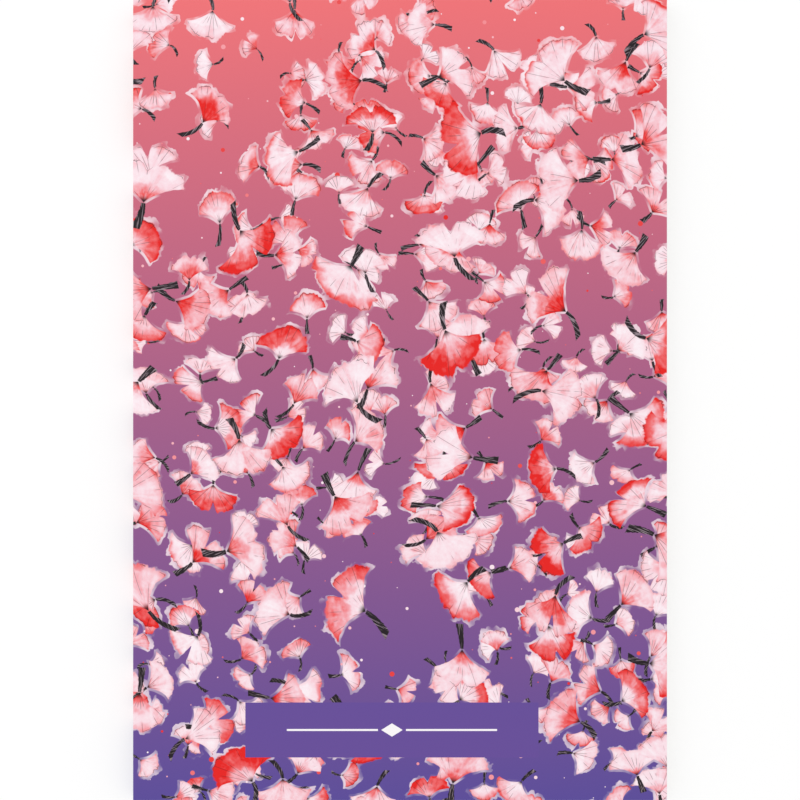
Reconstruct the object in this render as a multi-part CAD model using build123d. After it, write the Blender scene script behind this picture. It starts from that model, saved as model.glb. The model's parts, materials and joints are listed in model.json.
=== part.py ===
"""Paperback address book, closed and lying on its back cover.

A card cover wraps a stack of loose leaves. The leaves are milled along the spine, notched, and held
there by one strip of hot-melt glue, which also holds the spine of the cover. The covers fold at the two
long edges of the spine. Millimetres, +Z up, +Y towards the head of the book, origin under its middle.
"""

import os

from build123d import *

# Trim size: the cover and the leaves are cut together, so their three outer edges are flush
TRIM_WIDTH = 152.4
TRIM_HEIGHT = 228.6

# Sheet stock
CARD_THICKNESS = 0.30
LEAF_THICKNESS = 0.100
LEAF_CLEARANCE = 0.0144

# Leaves: a title leaf, the letters of the index, and a notes leaf
INDEX_LETTERS = "abcdefghijklmnopqrstuvwxyz"
LEAVES_PER_LETTER = 2

# Binding: the glue strip, and the notches milled into the leaves so that the glue grips them
GLUE_THICKNESS = 0.40
NOTCH_DEPTH = 1.2
NOTCH_WIDTH = 1.6
NOTCH_PITCH = 24.0
NOTCH_CLEARANCE = 0.02
FOLD_CLEARANCE = 0.01

# The stack of leaves, counted down from the front cover
LEAF_NAMES = (
    ["title_leaf"]
    + [f"leaf_{letter}{n + 1}" for letter in INDEX_LETTERS for n in range(LEAVES_PER_LETTER)]
    + ["notes_leaf"]
)
LEAF_PITCH = LEAF_THICKNESS + LEAF_CLEARANCE
BLOCK_THICKNESS = LEAF_PITCH * len(LEAF_NAMES) + LEAF_CLEARANCE
BOOK_THICKNESS = BLOCK_THICKNESS + 2 * CARD_THICKNESS

# Places across the book, from the spine on the left to the fore edge on the right
SPINE_X = -TRIM_WIDTH / 2
FORE_EDGE_X = TRIM_WIDTH / 2
GLUE_X = SPINE_X + CARD_THICKNESS
LEAF_X = GLUE_X + GLUE_THICKNESS
FOLD_RADIUS = CARD_THICKNESS / 2
FOLD_X = SPINE_X + FOLD_RADIUS
NOTCH_COUNT = int((TRIM_HEIGHT - NOTCH_WIDTH) // NOTCH_PITCH)


def cover_panel(bottom_z):
    """One cover: a card whose spine edge is the round of the fold, centred on the line it turns about."""
    top_z = bottom_z + CARD_THICKNESS
    with BuildSketch(Plane.XZ) as section:
        with BuildLine():
            Line((FOLD_X, top_z), (FORE_EDGE_X, top_z))
            Line((FORE_EDGE_X, top_z), (FORE_EDGE_X, bottom_z))
            Line((FORE_EDGE_X, bottom_z), (FOLD_X, bottom_z))
            ThreePointArc(
                (FOLD_X, bottom_z),
                (FOLD_X - FOLD_RADIUS, bottom_z + FOLD_RADIUS),
                (FOLD_X, top_z),
            )
        make_face()
    return extrude(section.sketch, amount=TRIM_HEIGHT / 2, both=True)


def spine_panel():
    """The spine of the cover, standing between the two folds."""
    foot_z = CARD_THICKNESS + FOLD_CLEARANCE
    section = Plane.XY.offset(foot_z) * Pos(SPINE_X + CARD_THICKNESS / 2, 0) * Rectangle(
        CARD_THICKNESS, TRIM_HEIGHT
    )
    return extrude(section, amount=BLOCK_THICKNESS - 2 * FOLD_CLEARANCE)


def notch_row(width, length):
    """A row of rectangles along the spine edge of the leaves, each reaching the given length into them."""
    middle = Pos(LEAF_X + length / 2, 0)
    places = GridLocations(length, NOTCH_PITCH, 1, NOTCH_COUNT)
    return Sketch() + [middle * place * Rectangle(length, width) for place in places]


def glue_strip():
    """The strip of hot-melt glue behind the leaves, with the ribs that fill their notches."""
    strip = Pos(GLUE_X + GLUE_THICKNESS / 2, 0) * Rectangle(GLUE_THICKNESS, TRIM_HEIGHT)
    ribs = notch_row(NOTCH_WIDTH - 2 * NOTCH_CLEARANCE, NOTCH_DEPTH - NOTCH_CLEARANCE)
    section = Plane.XY.offset(CARD_THICKNESS + FOLD_CLEARANCE) * (strip + ribs)
    return extrude(section, amount=BLOCK_THICKNESS - 2 * FOLD_CLEARANCE)


def leaf_outline():
    """One trimmed leaf seen from above, with the notches in its spine edge."""
    width = FORE_EDGE_X - LEAF_X
    sheet = Pos(LEAF_X + width / 2, 0) * Rectangle(width, TRIM_HEIGHT)
    return sheet - notch_row(NOTCH_WIDTH, NOTCH_DEPTH)


def leaf_stack():
    """Every leaf by name. The title leaf is uppermost, under the front cover."""
    outline = leaf_outline()
    top_leaf_z = BOOK_THICKNESS - CARD_THICKNESS - LEAF_PITCH
    leaves = {}
    for place, name in enumerate(LEAF_NAMES):
        seat = Plane.XY.offset(top_leaf_z - place * LEAF_PITCH)
        leaves[name] = extrude(seat * outline, amount=LEAF_THICKNESS)
    return leaves


def address_book():
    """Every piece of the book by name."""
    return {
        "front_cover": cover_panel(BOOK_THICKNESS - CARD_THICKNESS),
        "back_cover": cover_panel(0.0),
        "spine": spine_panel(),
        "spine_glue": glue_strip(),
        **leaf_stack(),
    }


os.makedirs("parts", exist_ok=True)
for piece_name, piece in address_book().items():
    export_step(piece, f"parts/{piece_name}.step")
print(f"{len(LEAF_NAMES)} leaves, book {BOOK_THICKNESS:.3f} mm thick, {NOTCH_COUNT} notches a leaf")
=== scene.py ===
# %% [markdown]
# # A paperback address book
# The book lies closed on its back cover. A printed card cover is wrapped round fifty-four loose leaves,
# which one strip of glue holds at the spine. The solids, their bodies and their joints come from the
# frame. This script dresses them: every surface is worked out with numpy, and every finish with shader
# nodes.

import json
import math
from types import SimpleNamespace

import bpy
import numpy as np
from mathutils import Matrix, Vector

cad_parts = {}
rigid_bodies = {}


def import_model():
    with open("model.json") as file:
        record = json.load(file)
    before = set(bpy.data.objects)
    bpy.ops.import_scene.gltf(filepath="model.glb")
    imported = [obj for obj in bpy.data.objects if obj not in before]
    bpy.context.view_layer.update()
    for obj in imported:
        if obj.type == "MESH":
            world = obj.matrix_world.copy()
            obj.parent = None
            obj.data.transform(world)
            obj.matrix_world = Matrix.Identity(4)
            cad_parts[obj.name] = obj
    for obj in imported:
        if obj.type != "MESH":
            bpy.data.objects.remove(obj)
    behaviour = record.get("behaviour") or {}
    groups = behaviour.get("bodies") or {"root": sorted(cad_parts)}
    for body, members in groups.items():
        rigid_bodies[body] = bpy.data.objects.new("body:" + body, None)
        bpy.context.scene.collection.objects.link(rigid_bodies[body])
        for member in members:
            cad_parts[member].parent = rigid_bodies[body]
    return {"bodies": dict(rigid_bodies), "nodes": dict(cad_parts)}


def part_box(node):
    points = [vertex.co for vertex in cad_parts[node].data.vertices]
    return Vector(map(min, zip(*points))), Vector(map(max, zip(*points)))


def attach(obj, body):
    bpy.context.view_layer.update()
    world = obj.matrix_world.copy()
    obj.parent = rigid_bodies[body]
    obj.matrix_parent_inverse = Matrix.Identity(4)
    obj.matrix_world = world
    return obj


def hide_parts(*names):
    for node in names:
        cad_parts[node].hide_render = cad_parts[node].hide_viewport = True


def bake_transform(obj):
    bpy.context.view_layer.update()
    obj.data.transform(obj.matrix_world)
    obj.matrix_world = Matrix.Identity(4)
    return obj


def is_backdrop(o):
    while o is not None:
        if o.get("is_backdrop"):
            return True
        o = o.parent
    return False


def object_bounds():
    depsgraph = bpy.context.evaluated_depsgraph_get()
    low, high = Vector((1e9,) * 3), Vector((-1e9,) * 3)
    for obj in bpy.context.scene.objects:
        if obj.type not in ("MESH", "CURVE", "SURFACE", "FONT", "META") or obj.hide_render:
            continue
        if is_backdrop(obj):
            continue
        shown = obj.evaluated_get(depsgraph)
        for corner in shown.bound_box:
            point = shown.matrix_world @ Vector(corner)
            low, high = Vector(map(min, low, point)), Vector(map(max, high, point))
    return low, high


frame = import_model()
solid_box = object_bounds()

# %% [markdown]
# ## Sizes
# Nothing is measured twice: the trim size, the card's thickness and the place of the spine are read from
# the solids, so that the looks fit a book of another size too. Blender works in metres here. A print is
# easier to think of in millimetres, so it is written that way, and MM turns it into metres.

# %% Sizes read from the solids
MM = 0.001
front_low, front_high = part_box("front_cover")
SPINE_X, TAIL_Y = front_low.xy
FORE_EDGE_X, HEAD_Y, BOOK_TOP = front_high
CARD = BOOK_TOP - front_low.z
WIDTH = FORE_EDGE_X - SPINE_X
HEIGHT = HEAD_Y - TAIL_Y
print("cover", round(WIDTH / MM, 2), "by", round(HEIGHT / MM, 2), "mm,", round(BOOK_TOP / MM, 3), "mm thick")

# %% [markdown]
# ## Camera
# The photograph looks straight down on the cover, which fills the frame from top to bottom. A short lens
# would stand close and see the cover's ends at a slant, so the lens is long. The distance follows from
# similar triangles: the cover is to the distance as the sensor is to the lens. The cover fills a hair
# more than the frame, so that no line of floor shows at its head and tail.

# %% Camera
LENS = 85.0
SENSOR = 36.0
FILL = 1.001

view = bpy.data.cameras.new("cover_view")
view.lens = LENS
view.sensor_width = SENSOR
camera = bpy.data.objects.new("cover_view", view)
camera.location = (0.0, 0.0, BOOK_TOP + HEIGHT / FILL * LENS / SENSOR)
scene = bpy.context.scene
scene.collection.objects.link(camera)
scene.camera = camera
print("camera", round(camera.location.z, 4), "m above the floor")

# %% [markdown]
# ## Light
# The cover has no shade on it, as in a soft white tent. One lamp alone would leave a hard shadow, so an
# even white sky gives most of the light, and a large lamp at the side brings out the cut edges. The
# Standard view passes colours on unchanged: under a light of 1, a printed colour comes out as mixed.

# %% Light
WHITE = (1.0, 1.0, 1.0, 1.0)
SKY = 0.92
LAMP_WATTS = 3.4
LAMP_PLACE = (-0.75, 0.55, 0.95)
LAMP_SIZE = 1.6

scene.view_settings.view_transform = "Standard"
sky = bpy.data.worlds.new("white_tent")
sky.use_nodes = True
sky_light = sky.node_tree.nodes["Background"]
sky_light.inputs["Color"].default_value = WHITE
sky_light.inputs["Strength"].default_value = SKY
scene.world = sky

lamp_light = bpy.data.lights.new("side_lamp", "AREA")
lamp_light.energy = LAMP_WATTS
lamp_light.size = LAMP_SIZE
lamp = bpy.data.objects.new("side_lamp", lamp_light)
lamp.location = LAMP_PLACE
lamp.rotation_euler = (-lamp.location).to_track_quat("-Z", "Y").to_euler()
scene.collection.objects.link(lamp)
print("sky", SKY, "and a lamp of", LAMP_WATTS, "W,", round(lamp.location.length, 2), "m away")

# %% [markdown]
# ## Meshes from arrays, and the floor
# Every piece below is an array of points and a list of faces, so one function turns them all into
# objects. It also takes maps: pairs of coordinates that stay with the points when a piece bends, which a
# finish can read. The floor is its first and plainest use: one large pale square that the book lies on.
# Like a light table it gives part of its white itself, so that the shadows on it are faint.

# %% Meshes from arrays
SHARP = math.radians(40.0)


def surface_piece(name, points, faces, materials, which, maps=()):
    """A mesh object from an array of points and a list of faces. which numbers each face's material, and each
    of the maps is a name with a pair of coordinates for every point. Only edges above SHARP show as edges."""
    mesh = bpy.data.meshes.new(name)
    mesh.from_pydata(points, [], faces)
    for material in materials:
        mesh.materials.append(material)
    mesh.polygons.foreach_set("material_index", np.asarray(which, np.int32))
    corners = np.empty(len(mesh.loops), np.int32)
    mesh.loops.foreach_get("vertex_index", corners)
    for label, places in maps:
        layer = mesh.uv_layers.new(name=label)
        layer.uv.foreach_set("vector", np.asarray(places, np.float32)[corners].ravel())
    mesh.shade_smooth()
    mesh.set_sharp_from_angle(angle=SHARP)
    piece = bpy.data.objects.new(name, mesh)
    scene.collection.objects.link(piece)
    return piece


# %% The floor
FLOOR_REACH = 6.0
FLOOR_TONE = (0.50, 0.50, 0.50, 1.0)
FLOOR_GLOW = 0.50
FLOOR_ROUGHNESS = 0.9


def new_finish(name, specular):
    """A new material, its node tree and its shader. specular is how strongly the surface mirrors."""
    material = bpy.data.materials.new(name)
    material.use_nodes = True
    shader = material.node_tree.nodes["Principled BSDF"]
    shader.inputs["Specular IOR Level"].default_value = specular
    return material, material.node_tree, shader


floor_paint, _, floor_shader = new_finish("pale_floor", specular=0.0)
floor_shader.inputs["Base Color"].default_value = FLOOR_TONE
floor_shader.inputs["Emission Color"].default_value = WHITE
floor_shader.inputs["Emission Strength"].default_value = FLOOR_GLOW
floor_shader.inputs["Roughness"].default_value = FLOOR_ROUGHNESS
floor_corners = np.array([(-1, -1, 0), (1, -1, 0), (1, 1, 0), (-1, 1, 0)], float) * FLOOR_REACH
floor = surface_piece("floor", floor_corners, [(0, 1, 2, 3)], [floor_paint], [0])
floor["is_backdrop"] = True
print("floor", 2 * FLOOR_REACH, "m across")

# %% [markdown]
# ## Node maths that reads like a formula
# The print on the cover is drawn by a shader. It could be a picture laid over the card, but a picture
# turns to squares up close, and a formula stays sharp. Shader maths is a row of small nodes, one for each
# plus or times, and such a row is hard to read in Python. A Field wraps one node's output, and Python's
# own operators add the nodes, so that an outline is one line of code. A comparison, such as a < b, gives
# 1 where it holds and 0 elsewhere.

# %% Fields


def both_ways(operation):
    """Two methods that add one Math node: with the field before the other value, and after it."""

    def before(field, value):
        return maths(operation, field, value)

    def after(field, value):
        return maths(operation, value, field)

    return before, after


class Field:
    """A number, or a colour or point, that varies over a surface: one node's output."""

    def __init__(self, socket):
        self.socket = socket

    __add__, __radd__ = both_ways("ADD")
    __sub__, __rsub__ = both_ways("SUBTRACT")
    __mul__, __rmul__ = both_ways("MULTIPLY")
    __truediv__, __rtruediv__ = both_ways("DIVIDE")
    __mod__, __rmod__ = both_ways("FLOORED_MODULO")
    __pow__, __rpow__ = both_ways("POWER")
    __lt__, __gt__ = both_ways("LESS_THAN")

    def __abs__(self):
        return maths("ABSOLUTE", self)


# %% Math nodes


def feed(value, socket):
    """Links a field to a socket, or writes a plain number or colour there."""
    if isinstance(value, Field):
        socket.id_data.links.new(value.socket, socket)
    else:
        socket.default_value = value


def node_for(values, kind):
    """A new node in the tree that the fields among these values belong to."""
    tree = next(value.socket.id_data for value in values if isinstance(value, Field))
    return tree.nodes.new(kind)


def maths(operation, *values):
    """One Math node."""
    node = node_for(values, "ShaderNodeMath")
    node.operation = operation
    for value, socket in zip(values, node.inputs):
        feed(value, socket)
    return Field(node.outputs["Value"])


# %% [markdown]
# ## Steps, dice and noise
# Four kinds of field do most of the drawing. A soft step turns a distance into ink that ends at an edge.
# Dice give a shape its own size and turn: white noise that depends only on the number of its cell. A
# cloud is smooth noise, for edges that waver and paint that pools. A point joins two numbers where a node
# wants a place.

# %% Steps and boxes


def soft_step(value, start, end):
    """From 0 at start to 1 at end along a smooth S. start may be the larger of the two."""
    node = node_for((value, start, end), "ShaderNodeMapRange")
    node.interpolation_type = "SMOOTHSTEP"
    feed(value, node.inputs["Value"])
    feed(start, node.inputs["From Min"])
    feed(end, node.inputs["From Max"])
    return Field(node.outputs["Result"])


def between(low, high, share):
    """low where share is 0, high where it is 1."""
    return low + (high - low) * share


def any_of(first, *others):
    """The strongest of several shares."""
    for other in others:
        first = maths("MAXIMUM", first, other)
    return first


def inside_box(x, y, half_x, half_y):
    """1 inside a box about the origin, 0 outside."""
    return (abs(x) < half_x) * (abs(y) < half_y)


# %% Dice and noise


def point_at(x, y, z=0.0):
    """A point from its coordinates."""
    node = node_for((x, y, z), "ShaderNodeCombineXYZ")
    for value, socket in zip((x, y, z), node.inputs):
        feed(value, socket)
    return Field(node.outputs["Vector"])


def dice(a, b, seed):
    """Three random numbers from 0 to 1, always the same for the same a, b and seed."""
    place = point_at(a, b, seed)
    noise = node_for((place,), "ShaderNodeTexWhiteNoise")
    noise.noise_dimensions = "3D"
    feed(place, noise.inputs["Vector"])
    parts = node_for((place,), "ShaderNodeSeparateColor")
    feed(Field(noise.outputs["Color"]), parts.inputs["Color"])
    return [Field(parts.outputs[name]) for name in ("Red", "Green", "Blue")]


def cloud(point, size, detail=2.0, dimensions="2D"):
    """Soft noise about 0.5, in patches of about the given size. detail adds finer noise to it."""
    node = node_for((point,), "ShaderNodeTexNoise")
    node.noise_dimensions = dimensions
    feed(point, node.inputs["Vector"])
    node.inputs["Scale"].default_value = 1.0 / size
    node.inputs["Detail"].default_value = detail
    return Field(node.outputs["Fac"])


# %% [markdown]
# ## The horizon
# From low down, the far edge of the floor shows as a line, because the floor is brighter than the sky. A
# larger floor would only move the line. So the sky is brightened towards the horizon, until it matches
# the floor far from the lamp: the floor's own glow and its share of the sky's light.

# %% The horizon
HORIZON_RISE = 0.3

horizon = FLOOR_GLOW + FLOOR_TONE[0] * SKY
heading = sky.node_tree.nodes.new("ShaderNodeSeparateXYZ")
direction = sky.node_tree.nodes.new("ShaderNodeTexCoord")
feed(Field(direction.outputs["Generated"]), heading.inputs["Vector"])
overhead = soft_step(Field(heading.outputs["Z"]), 0.0, HORIZON_RISE)
feed(between(horizon, SKY, overhead), sky_light.inputs["Strength"])
print("sky", SKY, "overhead and", horizon, "at the horizon")

# %% [markdown]
# ## Colours
# Colours are written as a paint program gives them, from 0 to 255, and turned into the light that Blender
# reckons with. Ink on the cover lies under a clear film, and the film adds a little pale sheen of its
# own, measured once on a test render. That much is taken off every ink, or dark colours would come out
# milky.

# %% Colours as light
SHEEN = 0.022


def screen_colour(red, green, blue):
    """A colour from 0 to 255 as light, by the curve that screens use."""
    share = np.array([red, green, blue]) / 255.0
    light = np.where(share <= 0.04045, share / 12.92, ((share + 0.055) / 1.055) ** 2.4)
    return (*light.tolist(), 1.0)


def ink_colour(red, green, blue):
    """A printed colour, less the sheen of the film over it."""
    light = np.array(screen_colour(red, green, blue)[:3])
    return (*np.maximum(light - SHEEN, 0.0).tolist(), 1.0)


print("a screen's middle grey, 128, is light of", round(screen_colour(128, 128, 128)[0], 3))

# %% Colours in nodes


def painted(under, over, share):
    """One colour over another, as far as share says."""
    node = node_for((under, over, share), "ShaderNodeMix")
    node.data_type = "RGBA"
    for value, label in ((share, "Factor_Float"), (under, "A_Color"), (over, "B_Color")):
        feed(value, next(socket for socket in node.inputs if socket.identifier == label))
    return Field(next(socket for socket in node.outputs if socket.identifier == "Result_Color"))


def wash(strength, stops):
    """A colour for each strength of paint, from a list of (strength, colour)."""
    node = node_for((strength,), "ShaderNodeValToRGB")
    ramp = node.color_ramp
    while len(ramp.elements) < len(stops):
        ramp.elements.new(0.5)
    for element, (place, colour) in zip(ramp.elements, stops):
        element.position = place
        element.color = colour
    feed(strength, node.inputs["Fac"])
    return Field(node.outputs["Color"])


# %% [markdown]
# ## Groups
# A drawing that is used several times, with other numbers each time, goes into a node group, as code goes
# into a function. So one helper makes a group out of a function, and another puts it to use.

# %% Groups


def as_group(draw, inputs):
    """A node group out of a function: its number inputs are the function's arguments, and the fields that
    the function returns, by name, are its outputs."""
    group = bpy.data.node_groups.new(draw.__name__, "ShaderNodeTree")
    for label in inputs:
        group.interface.new_socket(label, in_out="INPUT", socket_type="NodeSocketFloat")
    way_in = group.nodes.new("NodeGroupInput")
    way_out = group.nodes.new("NodeGroupOutput")
    results = draw(*(Field(way_in.outputs[label]) for label in inputs))
    for label, result in results.items():
        group.interface.new_socket(label, in_out="OUTPUT", socket_type=result.socket.bl_idname)
        feed(result, way_out.inputs[label])
    print(group.name, "is", len(group.nodes), "nodes")
    return group


def use_group(group, *values):
    """Puts the group into a tree, where the values feed its inputs in order. Returns its outputs by name."""
    node = node_for(values, "ShaderNodeGroup")
    node.node_tree = group
    for value, socket in zip(values, node.inputs):
        feed(value, socket)
    return {socket.name: Field(socket) for socket in node.outputs}


# %% [markdown]
# ## Fans
# The design is a scatter of fan-shaped leaves, painted wet. They could be placed one by one from a list,
# but a shader asks the other way round: which leaf is this point on? So the cover is cut into square
# cells, every other column half a cell lower, and each cell holds one fan. Dice that depend only on the
# cell give its place, size and turn, and a slow noise, the drift, thins the scatter here and crowds it
# there. The point is then seen from the fan's foot, in polar coordinates and in the fan's own radius.

# %% A fan in its cell
FOOT = 0.36
JITTER = 0.14
DRIFT = 46.0
DRIFT_SHARE = 2.4
SECOND_THROW = 0.37
THIRD_THROW = 0.71


def fan_in_cell(across, height, cell, shift, radius_low, radius_high, absent, seed):
    """The fan whose cell a point is in, with its dice, and the point as the fan sees it. along and aside are
    measured from its foot, along its axis and across it, and out and bearing are the radius and the angle
    of that pair."""
    fan = SimpleNamespace(point=point_at(across, height))
    fan.column = maths("FLOOR", across / cell + shift)
    drop = fan.column % 2.0 * 0.5 + shift
    fan.row = maths("FLOOR", height / cell + drop)
    x_roll, y_roll, size_roll = dice(fan.column, fan.row, seed)
    there_roll, turn_roll, fan.spread_roll = dice(fan.column, fan.row, seed + SECOND_THROW)
    fan.paint_roll, fan.red_roll, fan.notch_roll = dice(fan.column, fan.row, seed + THIRD_THROW)
    fan.radius = between(radius_low, radius_high, size_roll)

    # Present or not
    cell_middle = point_at((fan.column + 0.5 - shift) * cell, (fan.row + 0.5 - drop) * cell)
    drift = cloud(cell_middle, DRIFT, detail=1.0) - 0.5
    fan.there = there_roll + DRIFT_SHARE * drift > absent

    # Moved off the middle of the cell, and turned
    off_x = across - (fan.column + 0.5 + JITTER * (x_roll - 0.5) - shift) * cell
    off_y = height - (fan.row + 0.5 + JITTER * (y_roll - 0.5) - drop) * cell
    angle = turn_roll * (2 * math.pi)
    cosine = maths("COSINE", angle)
    sine = maths("SINE", angle)
    fan.along = (off_x * cosine + off_y * sine) / fan.radius + FOOT
    fan.aside = (off_y * cosine - off_x * sine) / fan.radius
    fan.out = maths("SQRT", fan.along * fan.along + fan.aside * fan.aside)
    fan.bearing = maths("ARCTAN2", fan.aside, fan.along)
    fan.off_axis = abs(fan.bearing)
    return fan


print("fans crowd and thin out over", DRIFT, "mm")

# %% [markdown]
# ## A fan's outline
# The rim lies one radius out, less a notch on the axis and a droop towards the sides, and it wavers with
# three noises: a slow one, a fine one, and the pleats, which run out from the foot. The two sides are
# bearings that close in on the foot. A pale halo lies outside, where water ran ahead of the paint.

# %% A fan's outline
WAVER_SIZE = 4.5
FINE_SIZE = 0.9
PLEATS = 4.0
PLEAT_CHANGE = 0.5
APART = 7.0
SPREAD = (0.98, 1.32)
FOOT_SPREAD = 0.56
NOTCH_WIDTH = 0.17
NOTCH_DEPTH = 0.50
DROOP = 0.12
RIM_WAVER, RIM_FINE, RIM_PLEAT = 0.20, 0.06, 0.16
RIM_EDGE = (1.02, 0.97)
SIDE_WAVER = 0.16
SIDE_EDGE = (-0.10, 0.15)
FRINGE = 0.55
FRINGE_WAVER = 2.4
FRINGE_FADE = 0.3
HALO_EDGE = (-0.8, -0.5)


def fan_outline(fan):
    """How far the fan and its halo cover a point. outness is the distance out as a share of the rim's, and
    room is the distance in from the nearer side, in millimetres along the arc. Each cell reads its pleats
    far APART from the next, so that neighbours differ."""
    fan.waver = cloud(fan.point, WAVER_SIZE) - 0.5
    fan.fine = cloud(fan.point, FINE_SIZE) - 0.5
    pleat_x = fan.bearing * PLEATS + fan.row * APART
    pleat_y = fan.out * PLEAT_CHANGE + fan.column * APART
    fan.pleat = cloud(point_at(pleat_x, pleat_y), 1.0) - 0.5
    fan.spread = between(*SPREAD, fan.spread_roll)

    notch = soft_step(fan.off_axis, NOTCH_WIDTH, 0.0) * fan.notch_roll * fan.notch_roll * NOTCH_DEPTH
    droop = (fan.off_axis / fan.spread) ** 4.0 * DROOP
    rim = 1.0 - notch - droop + RIM_WAVER * fan.waver + RIM_FINE * fan.fine + RIM_PLEAT * fan.pleat
    fan.outness = fan.out / rim
    opening = between(FOOT_SPREAD, 1.0, maths("MINIMUM", fan.out, 1.0))
    side = fan.spread * opening + SIDE_WAVER * fan.waver
    fan.room = (side - fan.off_axis) * fan.out * fan.radius

    cover = soft_step(fan.outness, *RIM_EDGE) * soft_step(fan.room, *SIDE_EDGE) * fan.there
    fringe = FRINGE + FRINGE_WAVER * fan.waver
    halo = soft_step((fan.outness - 1.0) * fan.radius, fringe + FRINGE_FADE, fringe)
    return cover, halo * soft_step(fan.room, *HALO_EDGE) * fan.there


print("a fan opens", [round(math.degrees(angle)) for angle in SPREAD], "degrees to each side")

# %% [markdown]
# ## A fan's paint
# Wet paint could be copied from a scan. Here its habits are added up into one number, the strength of the
# wash: more at the edges, where a wash dries last, more in the pleats, patches where it bloomed, and red
# that was dropped in at the foot, or on some fans at the rim, and ran. A ramp then gives the strength its
# colour.

# %% A fan's paint
FAN_PAINT = [
    (0.00, ink_colour(254, 240, 246)),
    (0.28, ink_colour(251, 217, 226)),
    (0.52, ink_colour(247, 173, 182)),
    (0.76, ink_colour(241, 108, 110)),
    (1.00, ink_colour(232, 44, 42)),
]
BARE_WASH, OWN_WASH, RED_WASH = 0.07, 0.30, 0.85
RIM_WASH, SIDE_WASH, BLOOM_WASH = 0.16, 0.10, 0.14
PLEAT_WASH, WAVER_WASH, FINE_WASH = 0.50, 0.40, 0.20
RIM_POOL = (0.84, 0.98)
SIDE_POOL = (0.8, 0.1)
RED_AT_RIM = 0.62
RIM_DROP = 1.05
RUN_WAVER, RUN_PLEAT = 0.8, 0.5
RUN_ENDS = (0.22, 0.85)
RUN_LENGTH = 0.42
BLOOM_SIZE = 8.0
BLOOM_EDGE = (0.50, 0.58)


def fan_paint(fan, red):
    """The colour of the wash at a point of the fan: a sum of its habits, with given weights. run is
    the way that the red has come from the place where it was dropped in."""
    pooled = RIM_WASH * soft_step(fan.outness, *RIM_POOL) + SIDE_WASH * soft_step(fan.room, *SIDE_POOL)
    from_rim = fan.spread_roll > RED_AT_RIM
    run = between(fan.out, RIM_DROP - fan.out, from_rim) + RUN_WAVER * fan.waver + RUN_PLEAT * fan.pleat
    run_end = between(*RUN_ENDS, fan.red_roll)
    bleed = soft_step(run, run_end, run_end - RUN_LENGTH) * red
    bloom = BLOOM_WASH * soft_step(cloud(fan.point, BLOOM_SIZE), *BLOOM_EDGE)
    ripple = PLEAT_WASH * fan.pleat + WAVER_WASH * fan.waver + FINE_WASH * fan.fine
    strength = BARE_WASH + OWN_WASH * fan.paint_roll + RED_WASH * bleed + pooled + bloom + ripple
    return wash(strength, FAN_PAINT)


print("the wash goes from pale to red over", len(FAN_PAINT), "colours")

# %% [markdown]
# ## Brush black
# Charcoal ink draws over the wash: veins that come and go, an outline that breaks off, and one curved
# stroke for the stalk, which thickens towards its cut end and is streaked as by a dry brush. All are
# distances from a line, in millimetres, so a vein is as thin on a large fan as on a small one.

# %% Brush black
CHARCOAL = ink_colour(46, 40, 44)
BRUSH_GREY = ink_colour(150, 134, 142)
VEINS = 5.0
VEIN_DARK = 0.5
VEIN_EDGE = (0.13, 0.04)
VEIN_BREAK = (0.02, 0.16)
OUTLINE = 0.97
OUTLINE_DARK = 0.65
OUTLINE_EDGE = (0.14, 0.05)
OUTLINE_BREAK = (0.0, 0.08)
FOOT_EDGE = (0.20, 0.04)
STALK = 0.62
STALK_BOW = 0.8
STALK_HALF = (0.042, 0.100)
STALK_WAVER = 0.4
STALK_EDGE = 0.10
STALK_START = (0.0, 0.02)
STALK_END = (1.0, 0.97)
BRISTLES = 4.0
STREAKS = 1.5
DRY_BRUSH = (0.54, 0.66)


def fan_lines(fan):
    """How dark the veins, the broken outline and the foot are at a point. A vein lies at each whole number of
    steps in bearing."""
    steps = fan.bearing * (VEINS / fan.spread)
    vein_gap = abs(steps - maths("ROUND", steps)) * fan.out * fan.radius * (fan.spread / VEINS)
    veins = VEIN_DARK * soft_step(vein_gap, *VEIN_EDGE) * soft_step(fan.waver + fan.pleat, *VEIN_BREAK)
    rim_gap = abs(fan.outness - OUTLINE) * fan.radius
    outline = OUTLINE_DARK * soft_step(rim_gap, *OUTLINE_EDGE) * soft_step(fan.waver, *OUTLINE_BREAK)
    return any_of(veins, outline, soft_step(fan.out, *FOOT_EDGE))


def fan_stalk(fan):
    """The stalk's colour, and how far it covers a point. behind runs from 0 at the foot to 1 at the cut end,
    and the stroke bows aside by the square of it. A brush has so many BRISTLES to a millimetre."""
    behind = fan.along / -STALK
    bow = (fan.red_roll - 0.5) * STALK_BOW
    gap = abs(fan.aside - bow * behind * behind) * fan.radius
    half = fan.radius * between(*STALK_HALF, behind) + STALK_WAVER * fan.fine
    on_run = soft_step(behind, *STALK_START) * soft_step(behind, *STALK_END)
    stroke = soft_step(gap, half + STALK_EDGE, half - STALK_EDGE) * on_run * fan.there
    bristles = cloud(point_at(fan.aside * fan.radius * BRISTLES, behind * STREAKS + fan.row), 1.0)
    return painted(CHARCOAL, BRUSH_GREY, soft_step(bristles, *DRY_BRUSH)), stroke


print("a fan has up to", int(2 * VEINS + 1), "veins, and a stalk of", STALK, "of its radius")

# %% The scatter of fans as a group
FAN_INPUTS = ("Across", "Height", "Cell", "Shift", "Radius low", "Radius high", "Absent", "Red", "Seed")


def fan_scatter(across, height, cell, shift, radius_low, radius_high, absent, red, seed):
    """One fan in each cell, with its halo and its stalk."""
    fan = fan_in_cell(across, height, cell, shift, radius_low, radius_high, absent, seed)
    cover, halo = fan_outline(fan)
    colour = painted(fan_paint(fan, red), CHARCOAL, fan_lines(fan))
    brush, stalk = fan_stalk(fan)
    return {"Colour": colour, "Cover": cover, "Halo": halo, "Brush": brush, "Stalk": stalk}


fan_group = as_group(fan_scatter, FAN_INPUTS)

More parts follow.
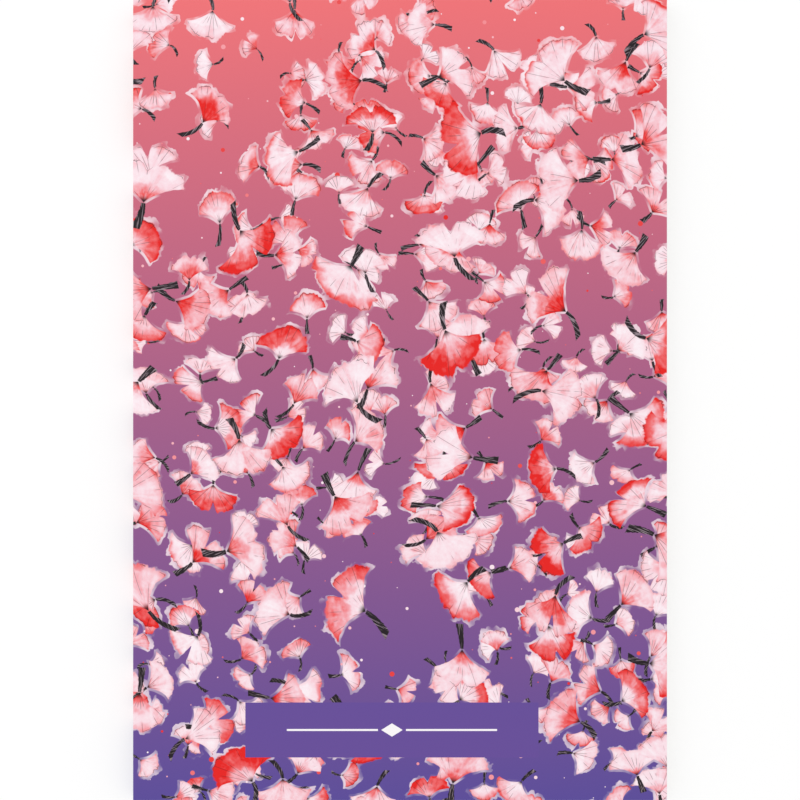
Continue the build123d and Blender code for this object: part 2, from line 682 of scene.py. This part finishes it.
# %% [markdown]
# ## Flecks
# Paint that was shaken off the brush lies over the ground in small round drops. Each cell of a square
# grid holds one drop at most, at a place and of a size that its own dice give, so that no grid shows.
# Flecks are drawn only once, so they need no group.

# %% Flecks
FLECK_CELL = 7.0
FLECK_ABSENT = 0.55
FLECK_SEED = 21.5
FLECK_PLACE = (0.15, 0.85)
FLECK_RADIUS = (0.14, 0.76)
FLECK_EDGE = 0.05


def flecks(across, height):
    """The colour of a drop, and how far it covers a point. The cube of a roll makes most drops tiny."""
    column = maths("FLOOR", across / FLECK_CELL)
    row = maths("FLOOR", height / FLECK_CELL)
    x_roll, y_roll, size_roll = dice(column, row, FLECK_SEED)
    there_roll, paint_roll, _ = dice(column, row, FLECK_SEED + SECOND_THROW)
    off_x = across - (column + between(*FLECK_PLACE, x_roll)) * FLECK_CELL
    off_y = height - (row + between(*FLECK_PLACE, y_roll)) * FLECK_CELL
    out = maths("SQRT", off_x * off_x + off_y * off_y)
    radius = between(*FLECK_RADIUS, size_roll ** 3.0)
    there = there_roll > FLECK_ABSENT
    return wash(paint_roll, FAN_PAINT), soft_step(out, radius + FLECK_EDGE, radius - FLECK_EDGE) * there


print("flecks of", FLECK_RADIUS[0], "to", FLECK_RADIUS[1], "mm radius")

# %% [markdown]
# ## The printed card
# The layers go down as a painter would lay them: the ground, which fades evenly from coral at the head to
# violet at the tail, pale halos where wet paint met it, flecks, and then the fans from the smallest to
# the largest. A slow noise bends the whole design a little, so that no two fans look stamped. The map
# "wrap" measures the cover unfolded, in metres from the front's spine edge, so the print runs on round
# the spine and over the back without a break.

# %% Ground and fans
HEAD_COLOUR = np.array((240.0, 117.0, 121.0))
TAIL_COLOUR = np.array((95.0, 80.0, 155.0))
GROUND_STOPS = 9
PALE = ink_colour(252, 232, 240)
BEND = 13.0
BEND_SIZE = 62.0
ELSEWHERE = 300.0
HALO_PATCH = 7.0
HALO_FADE = (0.34, 0.74)
HALO_STRENGTH = 0.8

# Each row gives the group's inputs from Cell on
FAN_SIZES = [
    (13.5, 0.15, 4.6, 5.6, 0.24, 0.38, 1.5),
    (17.0, 0.60, 5.8, 7.1, 0.15, 0.55, 2.5),
    (21.0, 0.35, 7.4, 8.8, 0.08, 0.46, 3.5),
    (25.0, 0.80, 8.8, 10.4, 0.08, 0.72, 4.5),
    (30.0, 0.45, 10.8, 12.6, 0.06, 0.64, 5.5),
]


def ground_colour(height):
    """The fade from tail to head. It is even to the eye, so the stops are worked out in screen colours."""
    shares = np.linspace(0.0, 1.0, GROUND_STOPS)
    stops = [(share, ink_colour(*(TAIL_COLOUR + (HEAD_COLOUR - TAIL_COLOUR) * share))) for share in shares]
    return wash(height * (MM / HEIGHT) + 0.5, stops)


def scattered_fans(flat_x, flat_y):
    """The ground with its halos, flecks and fans."""
    flat = point_at(flat_x, flat_y)
    aside = point_at(flat_x + ELSEWHERE, flat_y)
    across = flat_x + BEND * (cloud(flat, BEND_SIZE, detail=1.0) - 0.5)
    height = flat_y + BEND * (cloud(aside, BEND_SIZE, detail=1.0) - 0.5)
    scatters = [use_group(fan_group, across, height, *size) for size in FAN_SIZES]
    halo = any_of(*(fans["Halo"] for fans in scatters)) * soft_step(cloud(flat, HALO_PATCH), *HALO_FADE)
    colour = painted(ground_colour(flat_y), PALE, halo * HALO_STRENGTH)
    colour = painted(colour, *flecks(flat_x, flat_y))
    for fans in scatters:
        colour = painted(colour, fans["Brush"], fans["Stalk"])
        colour = painted(colour, fans["Colour"], fans["Cover"])
    return colour


print(len(FAN_SIZES), "sizes of fan, with radii from", FAN_SIZES[0][2], "to", FAN_SIZES[-1][3], "mm")

# %% [markdown]
# ## The plate and the film
# A plain violet plate lies near the tail of the front, with nothing on it but a white rule, broken by a
# lozenge. Boxes and a slanted sum of distances are enough to draw it. Over all the ink lies a clear matt
# film: a fine tooth scatters its gloss.

# %% The plate
PLATE_MIDDLE = (73.9, -94.2)
PLATE_SIZE = (83.7, 15.7)
PLATE_COLOUR = ink_colour(106, 82, 155)
WHITE_INK = ink_colour(252, 248, 250)
RULE_REACH = 30.0
RULE_HALF = 0.28
RULE_GAP = 4.0
LOZENGE = 1.9
LOZENGE_SLANT = 0.62


def broken_rule(x, y):
    """A rule about the origin, with a lozenge in its gap: where a slanted sum of distances is small."""
    rule = inside_box(x, y, RULE_REACH, RULE_HALF) * (abs(x) > RULE_GAP)
    return any_of(rule, abs(x) * LOZENGE_SLANT + abs(y) < LOZENGE)


def with_plate(colour, flat_x, flat_y):
    """The print with the plate over it, and the rule on the plate."""
    plate_x, plate_y = flat_x - PLATE_MIDDLE[0], flat_y - PLATE_MIDDLE[1]
    plate = inside_box(plate_x, plate_y, PLATE_SIZE[0] / 2, PLATE_SIZE[1] / 2)
    return painted(painted(colour, PLATE_COLOUR, plate), WHITE_INK, broken_rule(plate_x, plate_y))


print("plate", PLATE_SIZE[0], "by", PLATE_SIZE[1], "mm")

# %% The printed card
FILM_SPECULAR = 0.3
FILM_TOOTH = 0.12
FILM_ROUGHNESS = (0.36, 0.46)


def map_in(tree, label, unit):
    """The two coordinates that a map gives, in the given unit."""
    uv_map = tree.nodes.new("ShaderNodeUVMap")
    uv_map.uv_map = label
    parts = tree.nodes.new("ShaderNodeSeparateXYZ")
    feed(Field(uv_map.outputs["UV"]), parts.inputs["Vector"])
    return Field(parts.outputs["X"]) / unit, Field(parts.outputs["Y"]) / unit


def coat(shader, colour, roughness, share):
    """Gives a shader its colour, and a roughness between two ends, as far as share says."""
    feed(colour, shader.inputs["Base Color"])
    feed(between(*roughness, share), shader.inputs["Roughness"])


def tooth(shader, height, strength, depth):
    """Roughens a shader's surface with a bump of the given depth."""
    bump = node_for((height,), "ShaderNodeBump")
    bump.inputs["Strength"].default_value = strength
    bump.inputs["Distance"].default_value = depth
    feed(height, bump.inputs["Height"])
    feed(Field(bump.outputs["Normal"]), shader.inputs["Normal"])


def count_nodes(material):
    """Says how many nodes draw a finish."""
    print(material.name, "is", len(material.node_tree.nodes), "nodes")


def make_printed_card():
    """The material of the cover's outer face."""
    material, tree, shader = new_finish("printed_card", FILM_SPECULAR)
    flat_x, flat_y = map_in(tree, "wrap", MM)
    colour = with_plate(scattered_fans(flat_x, flat_y), flat_x, flat_y)
    grain = cloud(point_at(flat_x, flat_y), FILM_TOOTH, detail=1.0)
    coat(shader, colour, FILM_ROUGHNESS, grain)
    tooth(shader, grain, strength=0.05, depth=0.01 * MM)
    return material


printed_card = make_printed_card()
count_nodes(printed_card)

# %% [markdown]
# ## The bare card
# Inside the cover, and where the guillotine cut it, the card shows its own white. One flat white would
# look like plastic: pulp clouds real card softly, and short fibres give it a tooth.

# %% The bare card
CARD_TONE = screen_colour(249, 247, 243)
CARD_SHADE = screen_colour(243, 240, 235)
CARD_ROUGHNESS = (0.78, 0.92)
PAPER_SPECULAR = 0.25
PULP = 2.0 * MM
PULP_EDGE = (0.35, 0.70)
FIBRE = 0.25 * MM


def make_bare_card():
    """White card, clouded by its pulp, rough all over."""
    material, tree, shader = new_finish("bare_card", PAPER_SPECULAR)
    place = Field(tree.nodes.new("ShaderNodeTexCoord").outputs["Object"])
    pulp = soft_step(cloud(place, PULP, detail=4.0, dimensions="3D"), *PULP_EDGE)
    fibres = cloud(place, FIBRE, dimensions="3D")
    coat(shader, painted(CARD_TONE, CARD_SHADE, pulp), CARD_ROUGHNESS, fibres)
    tooth(shader, fibres, strength=0.12, depth=0.02 * MM)
    return material


bare_card = make_bare_card()
count_nodes(bare_card)

# %% [markdown]
# ## The cover
# One card is folded twice, into front, spine and back. The solids could be painted as they are, but their
# meshes are loose triangles with no map for the print. So each panel is made anew, as a profile carried
# from tail to head: along the outer face, round the end, and back along the inner face. Ends at a fold
# are half rounds about the line that the panel turns on, so the corner stays closed at every angle. The
# spine's rounds are a hair larger than those of the panels that turn inside them, so that two surfaces
# never share one place.

# %% The profile of a panel
ROUND_STEPS = 24
SAME_PLACE = 1e-9


def stretch(facing, at_end, reach):
    """One stretch of a profile: a row of these three numbers for each of its points."""
    return np.column_stack(np.broadcast_arrays(facing, at_end, reach))


def card_profile(start, end, start_round, end_round):
    """The outline of a panel in the plane across the spine, with its outer face on the left of the way from
    start to end. A point lies its reach from start or end, in the direction that the surface faces there.
    facing is the angle of that direction: 0 on the outer face, a half turn on the inner face, and all
    between on a round end. A round is a radius, or 0 where the end is cut square. unfolded is the place
    along the flat card."""
    half = CARD / 2
    turn = np.linspace(0.0, math.pi, ROUND_STEPS + 1)
    stretches = [stretch([0.0, 0.0], [0.0, 1.0], half)]
    if end_round:
        stretches.append(stretch(turn, 1.0, end_round))
    stretches.append(stretch([math.pi, math.pi], [1.0, 0.0], half))
    if start_round:
        stretches.append(stretch(turn[::-1], 0.0, start_round))
    facing, at_end, reach = np.vstack(stretches).T

    start, end = np.array(start), np.array(end)
    length = float(np.linalg.norm(end - start))
    ahead = (end - start) / length
    left = np.array((-ahead[1], ahead[0]))
    onward = 2 * at_end - 1
    swing = np.cos(facing)[:, None] * left + (np.sin(facing) * onward)[:, None] * ahead
    outline = start + at_end[:, None] * (end - start) + reach[:, None] * swing
    unfolded = at_end * length + onward * facing * half

    # A round as thick as the card begins where the flat face ends, and that point is kept once
    apart = np.linalg.norm(outline - np.roll(outline, 1, axis=0), axis=1) > SAME_PLACE
    return outline[apart], facing[apart], unfolded[apart]


print("a round turns", 180 / ROUND_STEPS, "degrees at each point")

# %% A panel of the cover
ANGLE_SLACK = 0.01


def card_panel(name, start, end, wrap_start, start_round, end_round):
    """A panel's profile, carried from tail to head and capped. The print ends a quarter turn round a fold."""
    outline, facing, unfolded = card_profile(start, end, start_round, end_round)
    count = len(outline)
    points = np.empty((2, count, 3))
    points[:, :, [0, 2]] = outline
    points[:, :, 1] = np.array((TAIL_Y, HEAD_Y))[:, None]
    points = points.reshape(-1, 3)
    place = np.arange(count)
    following = np.roll(place, -1)
    sides = np.column_stack([place, following, following + count, place + count]).tolist()
    caps = [place[::-1].tolist(), (place + count).tolist()]
    bare = np.maximum(facing, facing[following]) > math.pi / 2 + ANGLE_SLACK
    which = np.concatenate([bare, [True, True]])
    wrap = np.column_stack([np.tile(wrap_start + unfolded, 2), points[:, 1]])
    return surface_piece(name, points, sides + caps, [printed_card, bare_card], which, [("wrap", wrap)])


# %% The three panels
NESTED_ROUND = 0.98 * CARD / 2
FOLD_X = SPINE_X + CARD / 2
FRONT_FOLD = (FOLD_X, BOOK_TOP - CARD / 2)
BACK_FOLD = (FOLD_X, CARD / 2)
CORNER = CARD / 2 * math.pi / 2
spine_wrap = CARD / 2 - CORNER - (FRONT_FOLD[1] - BACK_FOLD[1])
back_wrap = spine_wrap - CORNER - (FORE_EDGE_X - FOLD_X)

front = card_panel("cover_front", FRONT_FOLD, (FORE_EDGE_X, FRONT_FOLD[1]), CARD / 2, NESTED_ROUND, 0.0)
spine = card_panel("cover_spine", BACK_FOLD, FRONT_FOLD, spine_wrap, CARD / 2, CARD / 2)
back = card_panel("cover_back", (FORE_EDGE_X, BACK_FOLD[1]), BACK_FOLD, back_wrap, 0.0, NESTED_ROUND)
for panel, node, body in (
    (front, "front_cover", "front_cover"),
    (spine, "spine", "binding"),
    (back, "back_cover", "back_cover"),
):
    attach(panel, body)
    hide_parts(node)
    print(panel.name, len(panel.data.polygons), "faces")

# %% [markdown]
# ## What is printed on the pages
# The inside of the photographed book can't be seen, so its pages get what address books have: a rule
# under the head, and blocks of lines to write a name and an address on. A page is drawn in millimetres
# from the middle of its type area, and across runs the way one reads. Three kinds are needed: the index
# pages, a page of lines for notes, and a title page with two plain frames. Ink spreads a little in
# uncoated paper, so a line has soft edges, which also keep it whole when the page is small in a picture.

# %% Lines and rules
INNER_MARGIN = 16.0
OUTER_MARGIN = 12.0
HEAD_RULE = 94.0
HEAD_RULE_HALF = 0.3
LINE_PITCH = 8.0
LINE_HALF = 0.24
LINE_SPREAD = 0.20
LINE_TINT = 0.75


def ruled(gap, half):
    """A line, from the distance to its middle and half its width."""
    return LINE_TINT * soft_step(gap, half + LINE_SPREAD, half - LINE_SPREAD)


def head_rule(across, height, half_width):
    """A rule under the head of the page."""
    return inside_box(across, height - HEAD_RULE, half_width, HEAD_RULE_HALF)


print("lines", 2 * LINE_HALF, "mm wide,", LINE_PITCH, "mm apart")

# %% Index pages
FIRST_BLOCK = 88.0
BLOCK = 38.0
BLOCKS = 5.0
LINES = 4.0
NAME_LINE_HALF = 0.30
AFTER_FIRST, AFTER_SECOND, AFTER_THIRD = 1.5, 2.5, 3.5
THIRD_BREAK = -6.0
FOURTH_BREAK = 16.0
BREAK_HALF = 2.0
BULLET = 1.3
BULLET_INSET = 1.4
BULLET_RISE = 2.6


def index_lines(across, height, half_width):
    """Blocks of four lines, with a bullet at the name. down is the distance below the block's top, and the
    nearest line is the whole number of pitches in it. The third and fourth lines are broken in two."""
    block = (FIRST_BLOCK - height) / BLOCK
    down = block % 1.0 * BLOCK
    line = maths("ROUND", down / LINE_PITCH)
    in_block = inside_box(block - BLOCKS / 2, line - (LINES + 1) / 2, BLOCKS / 2, LINES / 2)
    half = between(LINE_HALF, NAME_LINE_HALF, line < AFTER_FIRST)
    break_place = between(THIRD_BREAK, FOURTH_BREAK, line > AFTER_THIRD)
    broken = (abs(across - break_place) < BREAK_HALF) * (line > AFTER_SECOND)
    on_line = (abs(across) < half_width) * in_block * (1.0 - broken)
    lines = ruled(abs(down - line * LINE_PITCH), half) * on_line
    bullet_gap = abs(across + half_width - BULLET_INSET) + abs(down - LINE_PITCH + BULLET_RISE)
    bullet = (bullet_gap < BULLET) * in_block
    return any_of(lines, bullet, head_rule(across, height, half_width))


print("an index page has", int(BLOCKS), "blocks of", int(LINES), "lines")

# %% Notes page and title page
NOTES_MIDDLE = -6.0
NOTES_HALF = 96.0
FRAME_INSET = 20.0
FRAMES = ((0.0, 0.8), (2.4, 0.6))


def notes_lines(across, height, half_width):
    """Lines all the way down. A line's middle is half a pitch into each whole number of pitches."""
    gap = abs(height % LINE_PITCH - LINE_PITCH / 2)
    lines = ruled(gap, LINE_HALF) * inside_box(across, height - NOTES_MIDDLE, half_width, NOTES_HALF)
    return any_of(lines, head_rule(across, height, half_width))


def title_frame(across, height, half_width):
    """Two frames, one in the other, and a broken rule in the middle. A frame is a box less a smaller box."""
    half_height = HEIGHT / MM / 2 - FRAME_INSET
    ink = broken_rule(across, height)
    for inset, line in FRAMES:
        box = inside_box(across, height, half_width - inset, half_height - inset)
        hole = inside_box(across, height, half_width - inset - line, half_height - inset - line)
        ink = any_of(ink, box - hole)
    return ink


print("a notes page has", int(2 * NOTES_HALF / LINE_PITCH), "lines, a title page", len(FRAMES), "frames")

# %% [markdown]
# ## Paper
# Book paper is white and uncoated. A leaf bends as the book opens, so its finish can't read a point's
# place in space. It reads two maps that bend with the leaf. The map "page" gives the place on the flat
# leaf. The map "leaf" gives a roll of the leaf's own, which sets its white off from its neighbours', and
# the side: 1 on the upper face and -1 on the lower, which is a left-hand page once the leaf is turned.

# %% Paper
PAGE_TONE = screen_colour(251, 249, 245)
PAGE_SHADE = screen_colour(244, 241, 235)
LINE_INK = screen_colour(150, 138, 166)
PAGE_ROUGHNESS = (0.80, 0.92)
PAGE_PULP = 1.6
PAGE_FIBRE = 0.3
ROLL_IN_PAGE = 0.65
LEAF_APART = 400.0
LEAF_NAMES = sorted((name for name in frame["bodies"] if "leaf" in name), key=lambda name: -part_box(name)[0].z)
LEAF_WIDTH = FORE_EDGE_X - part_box(LEAF_NAMES[0])[0].x


def new_paper(name):
    """A material for a leaf: its shader, a point's place from the spine edge and from the middle of the
    book, in millimetres, and the leaf's roll and side."""
    material, tree, shader = new_finish(name, PAPER_SPECULAR)
    return material, shader, *map_in(tree, "page", MM), *map_in(tree, "leaf", 1.0)


def page_material(name, draw):
    """Both faces of a leaf: its white, and the lines that draw gives. One reads away from the spine on the
    upper face and towards it on the lower, so across is turned round there."""
    material, shader, from_spine, height, roll, side = new_paper(name)
    half_width = (LEAF_WIDTH / MM - INNER_MARGIN - OUTER_MARGIN) / 2
    ink = draw(side * (from_spine - INNER_MARGIN - half_width), height, half_width)
    place = point_at(from_spine, height + LEAF_APART * roll)
    shade = between(cloud(place, PAGE_PULP, detail=4.0), roll, ROLL_IN_PAGE)
    colour = painted(painted(PAGE_TONE, PAGE_SHADE, shade), LINE_INK, ink)
    coat(shader, colour, PAGE_ROUGHNESS, cloud(place, PAGE_FIBRE, detail=1.0))
    return material


print(len(LEAF_NAMES), "leaves,", round(LEAF_WIDTH / MM, 2), "mm wide")

# %% The papers of a leaf
CUT_TONE = screen_colour(250, 247, 240)
# The dark end of the cut edge: guillotine streaks, and painted shade for the gaps between leaves
CUT_STREAK_AND_GAP_SHADE = screen_colour(216, 208, 196)
CUT_ROUGHNESS = (0.82, 0.92)
STREAK = 0.7
STREAK_EDGE = (0.40, 0.66)
ROLL_IN_CUT = 0.75


def make_cut_edge():
    """The cut edges of a leaf. The guillotine's streaks cross all the leaves at the same places."""
    material, shader, from_spine, height, roll, _ = new_paper("cut_edge")
    streak = soft_step(cloud(point_at(from_spine, height), STREAK, detail=3.0), *STREAK_EDGE)
    # Each leaf's roll makes its edge lighter or darker: partly its own tone, partly painted shade between
    # leaves
    colour = painted(CUT_TONE, CUT_STREAK_AND_GAP_SHADE, between(streak, roll, ROLL_IN_CUT))
    coat(shader, colour, CUT_ROUGHNESS, streak)
    return material


index_page = page_material("index_page", index_lines)
notes_page = page_material("notes_page", notes_lines)
title_page = page_material("title_page", title_frame)
cut_edge = make_cut_edge()
for paper in (index_page, notes_page, title_page, cut_edge):
    count_nodes(paper)

# %% [markdown]
# ## Index letters
# Each letter of the alphabet has two leaves, and its capital stands at their outer head corners. A
# letter's curves are hard to write as a formula for a shader, so Blender's own plain typeface gives the
# flat shape. An edge that only one triangle uses is on the outline, and those edges carry the walls that
# make the flat shape a thin prism of ink.

# %% Ink of the letters
LETTER_TONE = screen_colour(84, 66, 128)
LETTER_THIN = screen_colour(104, 88, 146)
LETTER_ROUGHNESS = 0.6
INK_PATCH = 0.6
INK_THIN = (0.4, 0.7)


def make_letter_ink():
    """Dark violet ink, a little thinner here and there."""
    material, shader, from_spine, height, _, _ = new_paper("letter_ink")
    thin = soft_step(cloud(point_at(from_spine, height), INK_PATCH), *INK_THIN)
    feed(painted(LETTER_TONE, LETTER_THIN, thin), shader.inputs["Base Color"])
    shader.inputs["Roughness"].default_value = LETTER_ROUGHNESS
    return material


letter_ink = make_letter_ink()
count_nodes(letter_ink)

# %% The shape of a capital
CAP_HEIGHT = 7.0 * MM
INK_DEPTH = 0.004 * MM


def mesh_points(mesh):
    """The points of a mesh, one to a row."""
    places = np.empty(len(mesh.vertices) * 3, np.float32)
    mesh.vertices.foreach_get("co", places)
    return places.reshape(-1, 3).astype(float)


def flat_capital(letter):
    """The points and triangles of a capital, from a text object that is made a mesh and removed again."""
    text = bpy.data.curves.new("capital", "FONT")
    text.body = letter
    writer = bpy.data.objects.new("capital", text)
    mesh = bpy.data.meshes.new_from_object(writer)
    mesh.calc_loop_triangles()
    outline = mesh_points(mesh)[:, :2]
    triangles = np.empty(len(mesh.loop_triangles) * 3, np.int32)
    mesh.loop_triangles.foreach_get("vertices", triangles)
    bpy.data.objects.remove(writer)
    bpy.data.curves.remove(text)
    bpy.data.meshes.remove(mesh)
    return outline, triangles.reshape(-1, 3)


def capital_prism(letter):
    """A capital as a prism, with its foot at y = 0, its middle at x = 0 and its lower face at z = 0: its
    points, the triangles of its two faces, and its walls."""
    outline, triangles = flat_capital(letter)
    low, high = outline.min(axis=0), outline.max(axis=0)
    outline = (outline - ((low[0] + high[0]) / 2, low[1])) * (CAP_HEIGHT / (high[1] - low[1]))
    count = len(outline)
    edges = np.vstack([triangles[:, [0, 1]], triangles[:, [1, 2]], triangles[:, [2, 0]]])
    single = ~np.isin(edges[:, 0] * count + edges[:, 1], edges[:, 1] * count + edges[:, 0])
    start, end = edges[single].T
    lower = np.column_stack([outline, np.zeros(count)])
    upper = lower + (0.0, 0.0, 2 * INK_DEPTH)
    walls = np.column_stack([start, end, end + count, start + count])
    return np.vstack([lower, upper]), np.vstack([triangles[:, ::-1], triangles + count]), walls


# %% The index
INDEX_LEAF = "leaf_"


def index_letter(name):
    """The capital that an index leaf is named for, or None for another leaf."""
    return name[len(INDEX_LEAF)].upper() if name.startswith(INDEX_LEAF) else None


letters = sorted({index_letter(name) for name in LEAF_NAMES} - {None})
capitals = {letter: capital_prism(letter) for letter in letters}
print("capitals", "".join(letters), "with", sum(len(shape[0]) for shape in capitals.values()), "points")

# %% [markdown]
# ## A notched sheet
# Each leaf is a thin sheet, notched along the spine for the glue. It is a grid with cells left out at the
# notches: an upper and a lower face for every cell that is there, and a wall wherever a cell has no
# neighbour. The rows follow the solid's own corners. The columns lie closest beside the glue, where the
# leaf bends as the book opens.

# %% A notched sheet


def notched_sheet(across, along, there, low, high):
    """Points, flat faces and walls of a sheet on a grid. there marks the cells that are present."""
    grid_x, grid_y = np.meshgrid(across, along, indexing="ij")
    upper = np.column_stack([grid_x.ravel(), grid_y.ravel(), np.full(grid_x.size, high)])
    lower = upper - (0.0, 0.0, high - low)
    place = np.arange(grid_x.size).reshape(grid_x.shape)
    under = grid_x.size
    near_tail = place[:-1, :-1], place[1:, :-1]
    near_head = place[:-1, 1:], place[1:, 1:]
    round_cell = *near_tail, *near_head[::-1]
    cells = np.column_stack([corner[there] for corner in round_cell])
    flat = np.vstack([cells, cells[:, ::-1] + under])

    # A cell's edge has a wall where the cell beyond it is missing
    ringed = np.pad(there, 1)
    sides = (
        (ringed[:-2, 1:-1], near_tail[0], near_head[0]),
        (ringed[2:, 1:-1], near_head[1], near_tail[1]),
        (ringed[1:-1, :-2], near_tail[1], near_tail[0]),
        (ringed[1:-1, 2:], near_head[0], near_head[1]),
    )
    walls = []
    for beyond, first, second in sides:
        bare = there & ~beyond
        walls.append(np.column_stack([first[bare], second[bare], second[bare] + under, first[bare] + under]))
    return np.vstack([upper, lower]), flat, np.vstack(walls)


# %% The lines of the grid
GUTTER = 7.5 * MM
NOTCH_COLUMNS = 4
GUTTER_COLUMNS = 18
OUTER_COLUMNS = 5
DIGITS = 7


def corner_lines(node, axis):
    """The places along an axis where a solid has corners, in order."""
    return np.unique(np.round(mesh_points(frame["nodes"][node].data)[:, axis], DIGITS))


notch_lines = corner_lines(LEAF_NAMES[0], 0)
row_lines = corner_lines(LEAF_NAMES[0], 1)
LEAF_X, NOTCH_X = notch_lines[:2].tolist()
column_lines = np.concatenate([
    np.linspace(LEAF_X, NOTCH_X, NOTCH_COLUMNS, endpoint=False),
    np.linspace(NOTCH_X, LEAF_X + GUTTER, GUTTER_COLUMNS, endpoint=False),
    np.linspace(LEAF_X + GUTTER, FORE_EDGE_X, OUTER_COLUMNS + 1),
])
sheet_cells = np.ones((len(column_lines) - 1, len(row_lines) - 1), bool)
sheet_cells[:NOTCH_COLUMNS, 1::2] = False
print("a sheet has", sheet_cells.sum(), "cells and", (~sheet_cells[0]).sum(), "notches")

# %% [markdown]
# ## The leaves
# The leaves could be one sheet repeated by an Array modifier, but each has its own letter. No guillotine
# cuts two sheets quite alike either, so each leaf is a few hundredths of a millimetre short of the cover
# on its own dice.

# %% A leaf
PAGE, CUT, INK = range(3)
CAP_FOOT = 97.5 * MM


def leaf_surface(name, short):
    """Points, faces and face materials of one leaf: sheet, cut edges, and the capital on both of its faces.
    The capital below is the one above, turned half round about the Y axis."""
    low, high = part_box(name)
    columns, rows = column_lines.copy(), row_lines.copy()
    columns[-1] -= short[0]
    rows[[0, -1]] += short[1], -short[2]
    points, flat, walls = notched_sheet(columns, rows, sheet_cells, low.z, high.z)
    faces = flat.tolist() + walls.tolist()
    which = [PAGE] * len(flat) + [CUT] * len(walls)
    letter = index_letter(name)
    if letter:
        shape, triangles, shape_walls = capitals[letter]
        middle = FORE_EDGE_X - OUTER_MARGIN * MM - shape[:, 0].max()
        above = shape + (middle, CAP_FOOT, high.z - INK_DEPTH)
        below = shape * (-1, 1, -1) + (middle, CAP_FOOT, low.z + INK_DEPTH)
        for ink in (above, below):
            faces += (triangles + len(points)).tolist() + (shape_walls + len(points)).tolist()
            points = np.vstack([points, ink])
        which += [INK] * (len(faces) - len(which))
    return points, faces, which


# %% All the leaves
LEAF_SEED = 7
SHORT = 0.05 * MM

rolls = np.random.default_rng(LEAF_SEED)
pages = {"title_leaf": title_page, "notes_leaf": notes_page}
for number, name in enumerate(LEAF_NAMES):
    points, faces, which = leaf_surface(name, rolls.uniform(0.0, SHORT, 3))
    top, bottom = points[:, 2].max(), points[:, 2].min()
    page = np.column_stack([points[:, 0] - LEAF_X, points[:, 1]])
    side = np.sign(points[:, 2] - (top + bottom) / 2)
    own = np.column_stack([np.full(len(points), rolls.uniform()), side])
    finishes = [pages.get(name, index_page), cut_edge, letter_ink]
    leaf = surface_piece(f"sheet_{name}", points, faces, finishes, which, [("page", page), ("leaf", own)])
    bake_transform(leaf)
    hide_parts(name)
print("leaves made:", number + 1, "with", len(faces), "faces on the last")

# %% [markdown]
# ## The glue
# The strip of hot-melt glue behind the leaves shows only at its ends and between opened leaves. The solid
# has its shape already, ribs and all, so nothing is modelled again. It gets the look of cream wax that
# was pressed while it was soft.

# %% The glue
GLUE_TONE = screen_colour(236, 224, 196)
GLUE_SHADE = screen_colour(222, 205, 170)
GLUE_SPECULAR = 0.5
GLUE_ROUGHNESS = (0.38, 0.58)
LUMP = 2.5 * MM


def make_cream_glue():
    """Cream hot-melt: clouded, half glossy, softly uneven."""
    material, tree, shader = new_finish("cream_glue", GLUE_SPECULAR)
    place = Field(tree.nodes.new("ShaderNodeTexCoord").outputs["Object"])
    lump = cloud(place, LUMP, detail=3.0, dimensions="3D")
    coat(shader, painted(GLUE_TONE, GLUE_SHADE, lump), GLUE_ROUGHNESS, lump)
    tooth(shader, lump, strength=0.3, depth=0.1 * MM)
    return material


glue = frame["nodes"]["spine_glue"]
glue.data.materials.clear()
cream_glue = make_cream_glue()
glue.data.materials.append(cream_glue)
count_nodes(cream_glue)

# %% [markdown]
# ## The two boxes
# A dress that changed the size of the book would no longer fit its joints. So the box that the solids
# fill, kept from the start, is written down beside the box of the dressed book, where the two can be
# compared.

# %% The boxes of the solids and of the dressed book
dressed_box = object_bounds()
for label, (low, high) in (("solids", solid_box), ("dressed", dressed_box)):
    print(label, [round((far - near) / MM, 3) for near, far in zip(low, high)], "mm")
